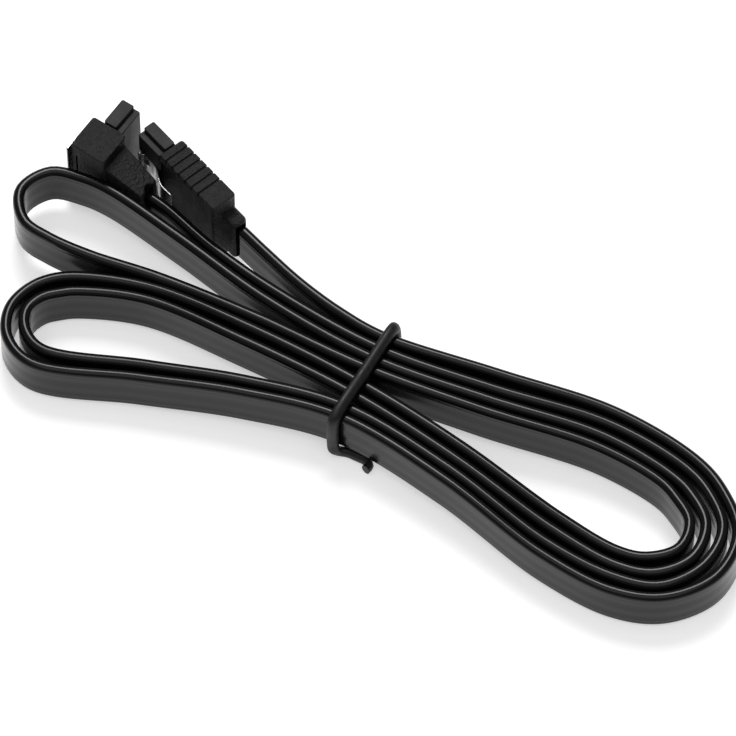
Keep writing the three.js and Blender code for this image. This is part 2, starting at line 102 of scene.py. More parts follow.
class Nodes:
    """A thin helper around one material's node tree."""

    def __init__(self, material: bpy.types.Material) -> None:
        """Holds the tree and its shader.

        Args:
            material: A material that uses nodes.
        """
        self.tree = material.node_tree
        self.shader = self.tree.nodes["Principled BSDF"]

    def add(self, kind: str, **values: object) -> bpy.types.Node:
        """Adds a node and sets its inputs or properties by name.

        Args:
            kind: The node's type name.
            **values: Inputs, with _ for a space, or properties of the node.

        Returns:
            The new node.
        """
        node = self.tree.nodes.new(kind)
        for key, value in values.items():
            label = key.replace("_", " ")
            if label in node.inputs:
                node.inputs[label].default_value = value
            else:
                setattr(node, key, value)
        return node

    def link(self, start: bpy.types.NodeSocket, end: bpy.types.NodeSocket) -> None:
        """Joins two sockets."""
        self.tree.links.new(start, end)

    def set(self, **values: object) -> None:
        """Sets the shader's own sockets, with _ for a space."""
        for key, value in values.items():
            self.shader.inputs[key.replace("_", " ")].default_value = value

    def coordinates(self, space: str, scale: Point) -> bpy.types.NodeSocket:
        """Gives stretched texture coordinates.

        Args:
            space: Object or UV.
            scale: How often a pattern repeats in each direction, for each metre or UV unit.

        Returns:
            The coordinates' socket.
        """
        source = self.add("ShaderNodeTexCoord")
        mapping = self.add("ShaderNodeMapping", Scale=scale)
        self.link(source.outputs[space], mapping.inputs["Vector"])
        return mapping.outputs["Vector"]

    def noise(self, vector: bpy.types.NodeSocket, scale: float,
              detail: float = 3.0) -> bpy.types.NodeSocket:
        """Adds a noise pattern.

        Args:
            vector: Where it is read.
            scale: Its size.
            detail: How many finer layers it has.

        Returns:
            Its value, from 0 to 1.
        """
        texture = self.add("ShaderNodeTexNoise", Scale=scale, Detail=detail)
        self.link(vector, texture.inputs["Vector"])
        return texture.outputs["Fac"]

    def spread(self, value: bpy.types.NodeSocket, low: float, high: float) -> bpy.types.NodeSocket:
        """Maps the middle of a noise's range onto two numbers.

        Args:
            value: A noise.
            low: What its dark places become.
            high: What its light places become.

        Returns:
            The mapped value.
        """
        ranged = self.add("ShaderNodeMapRange", From_Min=0.3, From_Max=0.7, To_Min=low, To_Max=high)
        self.link(value, ranged.inputs["Value"])
        return ranged.outputs["Result"]

    def roughness(self, value: bpy.types.NodeSocket, low: float, high: float) -> None:
        """Lets a pattern vary the roughness between two numbers."""
        self.link(self.spread(value, low, high), self.shader.inputs["Roughness"])

    def colour(self, value: bpy.types.NodeSocket, dark: Point, light: Point) -> None:
        """Lets a pattern vary the base colour between two colours."""
        ramp = self.add("ShaderNodeValToRGB")
        ramp.color_ramp.elements[0].position = 0.3
        ramp.color_ramp.elements[0].color = (*dark, 1.0)
        ramp.color_ramp.elements[1].position = 0.7
        ramp.color_ramp.elements[1].color = (*light, 1.0)
        self.link(value, ramp.inputs["Fac"])
        self.link(ramp.outputs["Color"], self.shader.inputs["Base Color"])

    def bump(self, heights: Sequence[tuple[bpy.types.NodeSocket, float, float]]) -> None:
        """Adds bump patterns on top of each other.

        Args:
            heights: For each, the pattern, its strength and its height in metres.
        """
        before = None
        for height, strength, distance in heights:
            node = self.add("ShaderNodeBump", Strength=strength, Distance=distance)
            self.link(height, node.inputs["Height"])
            if before is not None:
                self.link(before.outputs["Normal"], node.inputs["Normal"])
            before = node
        self.link(before.outputs["Normal"], self.shader.inputs["Normal"])


@dataclass(frozen=True)
class JacketFinish(Finish):
    """Satin black vinyl with the fine drawn streaks of an extruded jacket."""

    name: str = "satin_jacket"
    dark: Point = (0.003, 0.003, 0.0035)
    light: Point = (0.006, 0.006, 0.0065)

    def build(self, nodes: Nodes) -> None:
        """Adds streaks that run along the ribbon and a fine grain."""
        streaks = nodes.noise(nodes.coordinates("UV", (38.0, 9.0, 1.0)), 1.0, 4.0)
        scuffs = nodes.noise(nodes.coordinates("Object", (1.0, 1.0, 1.0)), 160.0, 5.0)
        grain = nodes.noise(nodes.coordinates("Object", (1.0, 1.0, 1.0)), 9000.0, 2.0)
        nodes.colour(scuffs, self.dark, self.light)
        nodes.roughness(streaks, 0.13, 0.22)
        nodes.bump([(streaks, 0.3, 0.00003), (grain, 0.12, 0.00002)])
        nodes.set(Specular_IOR_Level=0.28)


@dataclass(frozen=True)
class MouldedFinish(Finish):
    """Dull black moulding with a fine spark-eroded grain."""

    name: str = "grained_moulding"
    dark: Point = (0.006, 0.006, 0.0065)
    light: Point = (0.012, 0.012, 0.0125)
    grain_size: float = 2600.0
    grain_height: float = 0.0004
    rough: tuple[float, float] = (0.44, 0.6)
    shine: float = 0.33

    def build(self, nodes: Nodes) -> None:
        """Adds the grain, soft flow marks and handling marks."""
        here = nodes.coordinates("Object", (1.0, 1.0, 1.0))
        grain = nodes.noise(here, self.grain_size, 3.0)
        flow = nodes.noise(nodes.coordinates("Object", (1.0, 1.0, 0.35)), 420.0, 4.0)
        nodes.colour(flow, self.dark, self.light)
        nodes.roughness(flow, *self.rough)
        nodes.bump([(flow, 0.1, 0.00005), (grain, 0.8, self.grain_height)])
        nodes.set(Specular_IOR_Level=self.shine)


@dataclass(frozen=True)
class HousingFinish(MouldedFinish):
    """Smoother, harder black moulding of the noses."""

    name: str = "smooth_housing"
    dark: Point = (0.006, 0.006, 0.0065)
    light: Point = (0.011, 0.011, 0.0115)
    grain_size: float = 3400.0
    grain_height: float = 0.00008
    rough: tuple[float, float] = (0.46, 0.58)
    shine: float = 0.32


@dataclass(frozen=True)
class SteelFinish(Finish):
    """Bright stamped spring steel with rolling lines."""

    name: str = "spring_steel"
    dark: Point = (0.52, 0.53, 0.55)
    light: Point = (0.72, 0.72, 0.73)

    def build(self, nodes: Nodes) -> None:
        """Adds rolling lines along the strip and small stains."""
        lines = nodes.noise(nodes.coordinates("Object", (1.0, 1.0, 14.0)), 700.0, 4.0)
        stains = nodes.noise(nodes.coordinates("Object", (1.0, 1.0, 1.0)), 900.0, 3.0)
        nodes.colour(stains, self.dark, self.light)
        nodes.roughness(lines, 0.17, 0.34)
        nodes.bump([(lines, 0.25, 0.00001)])
        nodes.set(Metallic=1.0)


@dataclass(frozen=True)
class GoldFinish(Finish):
    """Gold flash over bronze on the contacts."""

    name: str = "gold_flash"
    dark: Point = (0.66, 0.44, 0.14)
    light: Point = (0.88, 0.66, 0.27)

    def build(self, nodes: Nodes) -> None:
        """Adds soft tone changes and fine wiping lines."""
        tone = nodes.noise(nodes.coordinates("Object", (1.0, 1.0, 1.0)), 1500.0, 3.0)
        lines = nodes.noise(nodes.coordinates("Object", (1.0, 1.0, 9.0)), 1800.0, 2.0)
        nodes.colour(tone, self.dark, self.light)
        nodes.roughness(lines, 0.2, 0.36)
        nodes.bump([(lines, 0.2, 0.00001)])
        nodes.set(Metallic=1.0)


@dataclass(frozen=True)
class TieFinish(Finish):
    """Black vinyl skin drawn over the tie's wire."""

    name: str = "tie_skin"
    dark: Point = (0.006, 0.006, 0.0065)
    light: Point = (0.012, 0.012, 0.0125)

    def build(self, nodes: Nodes) -> None:
        """Adds wrinkles across the bends and a fine grain."""
        wrinkles = nodes.noise(nodes.coordinates("UV", (3.0, 900.0, 1.0)), 1.0, 3.0)
        grain = nodes.noise(nodes.coordinates("Object", (1.0, 1.0, 1.0)), 6000.0, 2.0)
        nodes.colour(wrinkles, self.dark, self.light)
        nodes.roughness(wrinkles, 0.38, 0.54)
        nodes.bump([(wrinkles, 0.2, 0.00005), (grain, 0.15, 0.00002)])
        nodes.set(Specular_IOR_Level=0.32)


@dataclass(frozen=True)
class PaperFinish(Finish):
    """Seamless white sheet under the cable, lit a little from below as on a light table."""

    name: str = "white_paper"
    tone: float = 0.93
    glow: float = 0.5

    def build(self, nodes: Nodes) -> None:
        """Adds a tooth too fine to see from afar."""
        tooth = nodes.noise(nodes.coordinates("Object", (1.0, 1.0, 1.0)), 2500.0, 2.0)
        nodes.bump([(tooth, 0.03, 0.00002)])
        nodes.set(
            Base_Color=(self.tone, self.tone, self.tone, 1.0), Roughness=0.9, Specular_IOR_Level=0.2,
            Emission_Color=(1.0, 1.0, 1.0, 1.0), Emission_Strength=self.glow,
        )


# Mesh helpers


def object_of(mesh: bmesh.types.BMesh, name: str) -> bpy.types.Object:
    """Turns a bmesh into an object in the scene.

    Args:
        mesh: The bmesh, which is freed.
        name: The new object's name.

    Returns:
        The object.
    """
    data = bpy.data.meshes.new(name)
    mesh.to_mesh(data)
    mesh.free()
    made = bpy.data.objects.new(name, data)
    bpy.context.scene.collection.objects.link(made)
    return made


def apply_modifiers(piece: bpy.types.Object) -> None:
    """Puts a piece's modifiers into its mesh."""
    shown = piece.evaluated_get(bpy.context.evaluated_depsgraph_get())
    baked = bpy.data.meshes.new_from_object(shown)
    piece.modifiers.clear()
    old = piece.data
    piece.data = baked
    bpy.data.meshes.remove(old)


def combine(piece: bpy.types.Object, others: Sequence[bpy.types.Object], how: Cut) -> None:
    """Cuts other solids out of a piece, or joins them to it.

    Args:
        piece: The solid that stays.
        others: Solids that are used up.
        how: Carve or join.
    """
    for other in others:
        boolean = piece.modifiers.new("combine", "BOOLEAN")
        boolean.operation = how.value
        boolean.solver = "EXACT"
        boolean.object = other
    apply_modifiers(piece)
    for other in others:
        bpy.data.objects.remove(other)


def soften(piece: bpy.types.Object, width: float, segments: int = 2, angle: float = 32.0) -> None:
    """Rounds a piece's sharp edges.

    Args:
        piece: The piece.
        width: How far the rounding reaches, in millimetres.
        segments: How many facets it has.
        angle: Edges sharper than this many degrees are rounded.
    """
    rounding = piece.modifiers.new("rounding", "BEVEL")
    rounding.width = width
    rounding.segments = segments
    rounding.limit_method = "ANGLE"
    rounding.angle_limit = math.radians(angle)
    rounding.use_clamp_overlap = True
    rounding.harden_normals = False
    apply_modifiers(piece)


def settle(piece: bpy.types.Object, place: Matrix, finish: Finish) -> bpy.types.Object:
    """Puts a piece made in millimetres at its place in metres and dresses it.

    Args:
        piece: The piece, in its own millimetre frame.
        place: Where that frame stands, in millimetres.
        finish: Its finish.

    Returns:
        The same piece.
    """
    piece.data.transform(Matrix.Scale(MM, 4) @ Matrix.Translation(HANK_SHIFT) @ place)
    clean = bmesh.new()
    clean.from_mesh(piece.data)
    bmesh.ops.remove_doubles(clean, verts=clean.verts, dist=1e-7)
    bmesh.ops.recalc_face_normals(clean, faces=clean.faces)
    clean.to_mesh(piece.data)
    clean.free()
    piece.data.shade_smooth()
    even = piece.modifiers.new("even_shading", "WEIGHTED_NORMAL")
    even.keep_sharp = True
    piece.data.materials.clear()
    piece.data.materials.append(finish.material())
    return piece


def box_mesh(low: Point, high: Point) -> bmesh.types.BMesh:
    """Makes a box as a bmesh, from its lowest and highest corners."""
    made = bmesh.new()
    size = Vector(high) - Vector(low)
    middle = (Vector(high) + Vector(low)) / 2
    bmesh.ops.create_cube(
        made, size=1.0, matrix=Matrix.Translation(middle) @ Matrix.Diagonal((*size, 1.0)),
    )
    return made


def block(low: Point, high: Point) -> bpy.types.Object:
    """Makes a block from its lowest and highest corners, to cut or join with.

    Args:
        low: Lowest corner.
        high: Highest corner.

    Returns:
        The block.
    """
    return object_of(box_mesh(low, high), "block")


def rounded_block(low: Point, high: Point, corner: float, edge: float, name: str) -> bpy.types.Object:
    """Makes a block with round upright edges and softly rounded ends.

    Args:
        low: Lowest corner.
        high: Highest corner.
        corner: Radius of the upright edges.
        edge: Radius of the edges around the top and bottom.
        name: Its name.

    Returns:
        The block.
    """
    made = box_mesh(low, high)
    upright = [e for e in made.edges if abs(e.verts[0].co.z - e.verts[1].co.z) > 1e-6]
    bmesh.ops.bevel(
        made, geom=upright, offset=corner, segments=5, profile=0.5, affect="EDGES", material=-1,
    )
    level = [
        e for e in made.edges
        if abs(e.verts[0].co.z - e.verts[1].co.z) < 1e-6 and e.calc_face_angle(0.0) > 1.0
    ]
    bmesh.ops.bevel(
        made, geom=level, offset=edge, segments=4, profile=0.5, affect="EDGES", material=-1,
    )
    return object_of(made, name)


def prism(outline: Sequence[tuple[float, float]], start: float, length: float) -> bpy.types.Object:
    """Extrudes an outline along a plug's X axis.

    Args:
        outline: Its corners in Y and Z, in order.
        start: Its lowest X.
        length: How far it reaches from there.

    Returns:
        The closed prism.
    """
    made = bmesh.new()
    face = made.faces.new([made.verts.new((start, y, z)) for y, z in outline])
    grown = bmesh.ops.extrude_face_region(made, geom=[face])
    moved = [g for g in grown["geom"] if isinstance(g, bmesh.types.BMVert)]
    bmesh.ops.translate(made, verts=moved, vec=(length, 0.0, 0.0))
    bmesh.ops.recalc_face_normals(made, faces=made.faces)
    return object_of(made, "prism")


def cylinder(centre: Point, radius: float, height: float) -> bpy.types.Object:
    """Makes an upright cylinder, to cut with.

    Args:
        centre: Its middle.
        radius: Its radius.
        height: Its height.

    Returns:
        The cylinder.
    """
    made = bmesh.new()
    bmesh.ops.create_cone(
        made, cap_ends=True, segments=32, radius1=radius, radius2=radius, depth=height,
        matrix=Matrix.Translation(centre),
    )
    return object_of(made, "cylinder")


def smooth_line(points: Sequence[Point], step: float) -> list[Vector]:
    """Runs one smooth line through points, with even steps.

    Args:
        points: The points.
        step: The distance between the line's own points.

    Returns:
        The line's points.
    """
    given = [Vector(p) for p in points]
    given = [2 * given[0] - given[1], *given, 2 * given[-1] - given[-2]]
    dense: list[Vector] = []
    for before, start, end, after in zip(given, given[1:], given[2:], given[3:]):
        t1 = (start - before).length ** 0.5
        t2 = t1 + (end - start).length ** 0.5
        t3 = t2 + (after - end).length ** 0.5
        for k in range(CURVE_STEPS):
            t = t1 + (t2 - t1) * k / CURVE_STEPS
            a1 = before.lerp(start, t / t1)
            a2 = start.lerp(end, (t - t1) / (t2 - t1))
            a3 = end.lerp(after, (t - t2) / (t3 - t2))
            b1 = a1.lerp(a2, t / t2)
            b2 = a2.lerp(a3, (t - t1) / (t3 - t1))
            dense.append(b1.lerp(b2, (t - t1) / (t2 - t1)))
    dense.append(given[-2])
    total = sum((b - a).length for a, b in zip(dense, dense[1:]))
    count = max(2, round(total / step))
    even = [dense[0]]
    gone, index = 0.0, 0
    for k in range(1, count):
        target = total * k / count
        while gone + (dense[index + 1] - dense[index]).length < target:
            gone += (dense[index + 1] - dense[index]).length
            index += 1
        length = (dense[index + 1] - dense[index]).length
        even.append(dense[index].lerp(dense[index + 1], (target - gone) / length))
    even.append(dense[-1])
    return even


def tube(line: Sequence[Vector], section: Sequence[tuple[float, float]], upright: bool,
         name: str) -> bpy.types.Object:
    """Sweeps a section along a line, with a UV map that follows it.

    Args:
        line: The line's points.
        section: The section's corners, across and up.
        upright: Keeps the section's second axis upright, instead of carrying it along.
        name: The piece's name.

    Returns:
        A closed tube. U goes round the section and V along the line, in metres.
    """
    made = bmesh.new()
    chart = made.loops.layers.uv.new("UVMap")
    rings: list[list[bmesh.types.BMVert]] = []
    travelled = [0.0]
    up = Vector((0.0, 0.0, 1.0))
    if not upright and abs((line[1] - line[0]).normalized().z) >= STEEP:
        up = Vector((0.0, 1.0, 0.0))
    for i, point in enumerate(line):
        ahead = line[min(i + 1, len(line) - 1)] - line[max(i - 1, 0)]
        ahead.normalize()
        side = up.cross(ahead).normalized()
        rise = ahead.cross(side).normalized()
        if upright:
            rise = Vector((0.0, 0.0, 1.0))
        else:
            up = rise
        rings.append([made.verts.new(point + side * a + rise * b) for a, b in section])
        if i:
            travelled.append(travelled[-1] + (point - line[i - 1]).length * MM)
    count = len(section)
    for i in range(len(rings) - 1):
        for k in range(count):
            after = (k + 1) % count
            face = made.faces.new((rings[i][k], rings[i + 1][k], rings[i + 1][after], rings[i][after]))
            corners = ((k, i), (k, i + 1), (k + 1, i + 1), (k + 1, i))
            for loop, (u, v) in zip(face.loops, corners):
                loop[chart].uv = (u / count, travelled[v])
    made.faces.new(rings[0])
    made.faces.new(list(reversed(rings[-1])))
    bmesh.ops.recalc_face_normals(made, faces=made.faces)
    return object_of(made, name)


# The cable


@dataclass
class RibbonCable:
    """The flat jacket, which stands on its edge along the whole hank.

    The route and its two ends give the middle in plan and the height of the lower edge.
    """

    start: Point
    end: Point
    width: float = 7.8
    thickness: float = 1.7
    edge_round: float = 0.8
    groove_from_edge: float = 1.05
    groove_depth: float = 0.035
    groove_spread: float = 0.16
    lobe_depth: float = 0.025
    face_steps: int = 26
    crown_steps: int = 12
    step: float = 0.9
    tie_x: float = -0.6
    entry: float = 0.55
    route: Sequence[Point] = (
        (-22.5, 9.5, 2.1), (-15.6, 6.9, 1.9), (-8, 4.85, 1.8), (-0.6, 3.85, 1.7),
        (17.4, 5.5, 1.2), (35.4, 7.3, 0.3), (49.2, 5.0, 0), (54.8, 1.95, 0), (59.75, -3.65, 0),
        (59.9, -11.4, 0), (54.7, -17.75, 0), (47.3, -20.15, 0), (35.4, -19.1, 0.3), (17.4, -14.2, 1.4),
        (-0.6, -11.25, 1.7),
        (-15.6, -13.3, 1.3), (-30.6, -17.1, 0.6), (-46.3, -21.2, 0), (-51.4, -18.55, 0), (-53.2, -14, 0),
        (-52.1, -9.7, 0), (-49.6, -6.7, 0), (-45.8, -4.6, 0), (-35.6, -2.2, 0.35), (-19.6, -2.7, 1.2),
        (-0.6, -4.75, 1.7),
        (17.4, -8, 1.2), (35.4, -12.4, 0.3), (45, -13.8, 0), (49.35, -12.95, 0), (53.05, -9.55, 0),
        (52.65, -5, 0), (49.15, -2.05, 0), (46, -0.5, 0), (35.4, 0.85, 0.3), (17.4, -1.1, 1.2),
        (-0.6, -2.05, 1.7),
        (-19.6, -0.7, 1.2), (-35.5, -0.35, 0.7), (-46.2, -1.55, 1.4), (-52.9, -1.65, 2), (-57.4, -0.6, 2.2),
        (-60.15, 3.9, 2.3), (-57.6, 8.6, 2.3), (-52.7, 9.65, 2.3), (-48.1, 9.5, 2.2), (-35.4, 6.75, 1.6),
        (-19.6, 2.65, 1.4), (-0.6, -0.15, 1.7),
        (17.4, 0.9, 1.2), (35.4, 2.85, 0.3), (46.95, 1.15, 0), (50.95, -0.6, 0), (55, -4.4, 0),
        (55.4, -10.2, 0), (51.4, -14.8, 0), (45.8, -16.05, 0), (35.4, -14.7, 0.3), (17.4, -10.25, 1.2),
        (-0.6, -6.95, 1.7),
        (-19.6, -5.1, 1.2), (-35.6, -4.4, 0.35), (-45.4, -7.2, 0), (-47.7, -8.6, 0), (-49.7, -10.35, 0),
        (-50.8, -13.35, 0), (-49.4, -16.5, 0), (-45.8, -18.4, 0), (-30.6, -14.7, 0.6), (-15.6, -11.2, 1.3),
        (-0.6, -9.4, 1.7),
        (17.4, -12.2, 1.2), (35.4, -17.05, 0.3), (46.5, -17.95, 0), (53.1, -16.35, 0), (57.4, -10.7, 0),
        (57.5, -4.05, 0), (53.1, 0.8, 0), (48.15, 3.25, 0), (35.4, 5.1, 0.3), (17.4, 2.9, 1.2),
        (-0.6, 1.75, 1.7),
        (-19.6, 4.65, 1.3), (-31, 7.7, 1.1), (-39.3, 10.85, 0.9),
    )

    def section(self) -> list[tuple[float, float]]:
        """Draws the jacket's section: round edges, a groove inside each, and soft lobes between.

        Returns:
            Its corners, across and up.
        """
        half = self.thickness / 2
        straight = self.width / 2 - self.edge_round
        groove = self.width / 2 - self.groove_from_edge
        side: list[tuple[float, float]] = []
        for i in range(self.face_steps + 1):
            z = -straight + 2 * straight * i / self.face_steps
            dip = self.groove_depth * math.exp(-(((abs(z) - groove) / self.groove_spread) ** 2))
            lobe = self.lobe_depth * 0.5 * (1 - math.cos(4 * math.pi * z / (2 * groove)))
            side.append((half - dip - (lobe if abs(z) < groove else 0.0), z))
        crown = [
            (half * math.cos(a), straight + self.edge_round * math.sin(a))
            for a in (math.pi * k / self.crown_steps for k in range(1, self.crown_steps))
        ]
        right = side
        left = [(-x, z) for x, z in reversed(side)]
        foot = [(-x, -z) for x, z in crown]
        return [*right, *crown, *left, *foot]

    def at_tie(self) -> tuple[float, float, float]:
        """Gives the front and the back of the hank where the tie holds it, and its upper edge."""
        across = [y for x, y, _ in self.route if x == self.tie_x]
        lift = max(lift for x, _, lift in self.route if x == self.tie_x)
        return min(across) - self.thickness / 2, max(across) + self.thickness / 2, lift + self.width

    def line(self) -> list[Vector]:
        """Gives the middle line, carried a little way into both plugs."""
        middle = [(x, y, lift + self.width / 2) for x, y, lift in (self.start, *self.route, self.end)]
        first, last = Vector(middle[0]), Vector(middle[-1])
        into_first = first + (first - Vector(middle[1])).normalized() * self.entry
        into_last = last + (last - Vector(middle[-2])).normalized() * self.entry
        return smooth_line([tuple(into_first), *middle[1:-1], tuple(into_last)], self.step)

    def build(self) -> bpy.types.Object:
        """Makes and dresses the ribbon.

        Returns:
            The ribbon.
        """
        ribbon = tube(self.line(), self.section(), True, "ribbon")
        settle(ribbon, Matrix.Identity(4), JacketFinish())
        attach(ribbon, "root")
        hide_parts("ribbon_cable")
        return ribbon


@dataclass
class TwistTie:
    """The coated wire that holds the hank at its middle, a little wider along the hank than thick."""

    ribbon: RibbonCable
    diameter: float = 1.4
    breadth: float = 1.8
    corner: float = 1.5
    dip: float = 0.04
    offset: float = 0.45
    turn: float = -4.5
    gap: float = 0.3
    sides: int = 20
    step: float = 0.3
    end_round: float = 0.25
    stub: Sequence[Point] = (
        (5.6, -0.2, 0.22), (5.7, 0.7, 0.22), (4.8, 1.2, 0.22), (3.4, 1.2, 0.22), (1.9, 1.1, 0.22),
        (0.7, 0.6, 0.42), (0.2, 0, 1.5), (0, 0, 3),
    )
    tail: Sequence[Point] = ((0, 5, 0), (-0.3, 3.7, 0), (-0.7, 2.5, 0))

    def path(self) -> list[Point]:
        """Lays the wire's route: a stub on the floor, up, over, down behind and under."""
        front_face, back_face, top = self.ribbon.at_tie()
        radius = self.diameter / 2
        low = radius + self.dip
        high = top + self.gap + radius
        back = (back_face - front_face) / 2 + self.gap + radius
        front = -back
        bend = self.corner
        cut = bend * (1 - math.sqrt(0.5))
        return [
            *((x, front + y, low + z) for x, y, z in self.stub),
            (0, front, high - bend), (0, front + cut, high - cut), (0, front + bend, high),
            (0, 0, high),
            (0, back - bend, high), (0, back - cut, high - cut), (0, back, high - bend),
            (0, back, low + bend), (0, back - cut, low + cut), (0, back - bend, low),
            (0, back - 2 * bend, low),
            *((x, front + y, low + z) for x, y, z in self.tail),
        ]

    def build(self) -> bpy.types.Object:
        """Makes and dresses the tie.

        Returns:
            The tie.
        """
        turns = [2 * math.pi * k / self.sides for k in range(self.sides)]
        section = [(self.diameter / 2 * math.cos(a), self.breadth / 2 * math.sin(a)) for a in turns]
        tie = tube(smooth_line(self.path(), self.step), section, False, "tie")
        soften(tie, self.end_round, 3, 50.0)
        front_face, back_face, _ = self.ribbon.at_tie()
        centre = (self.ribbon.tie_x + self.offset, (front_face + back_face) / 2, 0.0)
        place = Matrix.Translation(centre) @ Matrix.Rotation(math.radians(self.turn), 4, "Z")
        settle(tie, place, TieFinish())
        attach(tie, "root")
        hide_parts("twist_tie")
        return tie


@dataclass(frozen=True)
class Nose:
    """A plug's nose, whose faces are given from the middle plane of its slot."""

    length: float
    bottom: float
    top: float
    key_bottom: float
    key_top: float
    foot_side: int


@dataclass(frozen=True)
class LatchForm:
    """Where a latch comes level over its shell, how far back it ends, and its tab."""

    crest: float
    rear: float
    tab_lift: float
    tab_width: float


@dataclass
class Plug:
    """What both plugs share: their place, their nose, their contacts and their latch."""

    side: Handed
    x: float
    y: float
    heading: float
    shell_half: float
    nose_form: Nose
    latch_form: LatchForm
    outward: Point
    exit_lift: float
    exit_gap: float = 0.3
    width: float = 14.4
    key_inset: float = 0.2
    ledge_drop: float = 0.75
    slot_length: float = 10.4
    slot_thickness: float = 1.3
    slot_past_shell: float = 0.7
    slot_foot_reach: float = 0.95
    slot_foot_length: float = 1.5
    nose_corner: float = 0.3
    nose_edge: float = 0.14
    nose_rim: float = 0.07
    ledge_groove: float = 0.22
    ledge_groove_front: float = 0.4
    ledge_groove_rear: float = 0.5
    tenon_length: float = 1.6
    tenon_bottom: float = -0.95
    tenon_top: float = 1.1
    tenon_inset: float = 1.2
    fit: float = 0.25
    channel_depth: float = 0.45
    latch_width: float = 4.4
    latch_thickness: float = 0.25
    latch_gap: float = 0.15
    latch_tab_length: float = 2.3
    latch_barb: float = 0.5
    latch_setback: float = 0.2
    latch_bend: float = 2.2
    latch_ease: Sequence[tuple[float, float]] = ((0.275, 0.12), (0.775, 0.8))
    latch_step: float = 0.16
    latch_rim: float = 0.06
    tip_taper: float = 0.35
    tip_taper_length: float = 0.9
    dimple_x: float = 3.5
    dimple_above_middle: float = 0.4
    dimple_height: float = 0.24
    dimple_spread: float = 0.42

    def own_exit(self) -> Vector:
        """Gives the point of the plug's own frame where the ribbon leaves it."""
        raise NotImplementedError

    @property
    def place(self) -> Matrix:
        """The plug's frame: its nose points along X, and Z is up."""
        turn = Matrix.Rotation(math.radians(self.heading), 4, "Z")
        return Matrix.Translation((self.x, self.y, 0.0)) @ turn

    def ribbon_end(self) -> Point:
        """Gives the end of the ribbon beside this plug, with the height of its lower edge."""
        end = self.place @ (self.own_exit() + Vector(self.outward) * self.exit_gap)
        return end.x, end.y, self.exit_lift

    def register(self, piece: bpy.types.Object, finish: Finish, node: str, slot: str) -> bpy.types.Object:
        """Places and dresses one of the plug's pieces, hangs it on the root and hides the solid that it
        stands for.

        Args:
            piece: The piece, in the plug's frame.
            finish: Its finish.
            node: The end of the name of the solid that it stands for.
            slot: Not used.

        Returns:
            The same piece.
        """
        settle(piece, self.place, finish)
        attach(piece, "root")
        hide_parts(f"{self.side.value}_{node}")
        return piece

    def nose(self) -> bpy.types.Object:
        """Makes the nose with its keys, ledges, latch channel and L-shaped slot.

        Returns:
            The nose.
        """
        form = self.nose_form
        middle = self.width / 2
        key = middle - self.key_inset
        ledge = key - self.ledge_drop
        tenon_half = middle - self.tenon_inset
        nose = rounded_block(
            (self.fit, form.bottom, middle - ledge), (form.length, form.top, middle + ledge),
            self.nose_corner, self.nose_edge, f"{self.side.value}_nose",
        )
        rib = rounded_block(
            (self.fit, form.key_bottom, middle - key), (form.length, form.key_top, middle + key),
            self.nose_corner, self.nose_edge, "rib",
        )
        tenon = block(
            (-self.tenon_length, self.tenon_bottom, middle - tenon_half),
            (self.fit + self.nose_corner, self.tenon_top, middle + tenon_half),
        )
        combine(nose, [rib, tenon], Cut.JOIN)
        low, high = middle - self.slot_length / 2, middle + self.slot_length / 2
        thin = form.foot_side * self.slot_thickness / 2
        foot = thin + form.foot_side * self.slot_foot_reach
        step = low + self.slot_foot_length
        slot = prism(
            [(-thin, low), (foot, low), (foot, step), (thin, step), (thin, high), (-thin, high)],
            -self.slot_past_shell, form.length + self.slot_past_shell + 1.0,
        )
        reach = self.latch_width / 2 + self.fit
        channel = block(
            (0.0, form.top - self.channel_depth, middle - reach),
            (form.length + 1.0, form.top + 1.0, middle + reach),
        )
        combine(nose, [slot, channel], Cut.CARVE)
        groove = self.ledge_groove
        front, rear = self.ledge_groove_front, form.length - self.ledge_groove_rear
        floor, above = middle + ledge - groove, middle + ledge + 0.3
        combine(nose, [
            block((front, y, floor), (rear, y + groove, above))
            for y in (form.key_bottom - groove, form.key_top)
        ], Cut.CARVE)
        soften(nose, self.nose_rim, 2)
        return self.register(nose, HousingFinish(), "housing", "housing")

    def latch_line(self) -> list[tuple[float, float]]:
        """Gives the latch's side view, from its hook to the lip of its tab."""
        form, barb = self.latch_form, self.latch_barb
        tip = self.nose_form.length - self.latch_setback
        face = self.nose_form.top - self.channel_depth + self.latch_gap
        tab = self.shell_half + form.tab_lift
        run = self.latch_bend - form.crest
        points = [
            (tip, face + barb / 2), (tip - barb, face + barb), (tip - 2 * barb, face),
            (self.latch_bend, face),
            *((self.latch_bend - along * run, face + up * (tab - face)) for along, up in self.latch_ease),
            (form.crest, tab), (-form.rear, tab),
        ]
        return [(p.x, p.y) for p in smooth_line([(x, y, 0.0) for x, y in points], self.latch_step)]

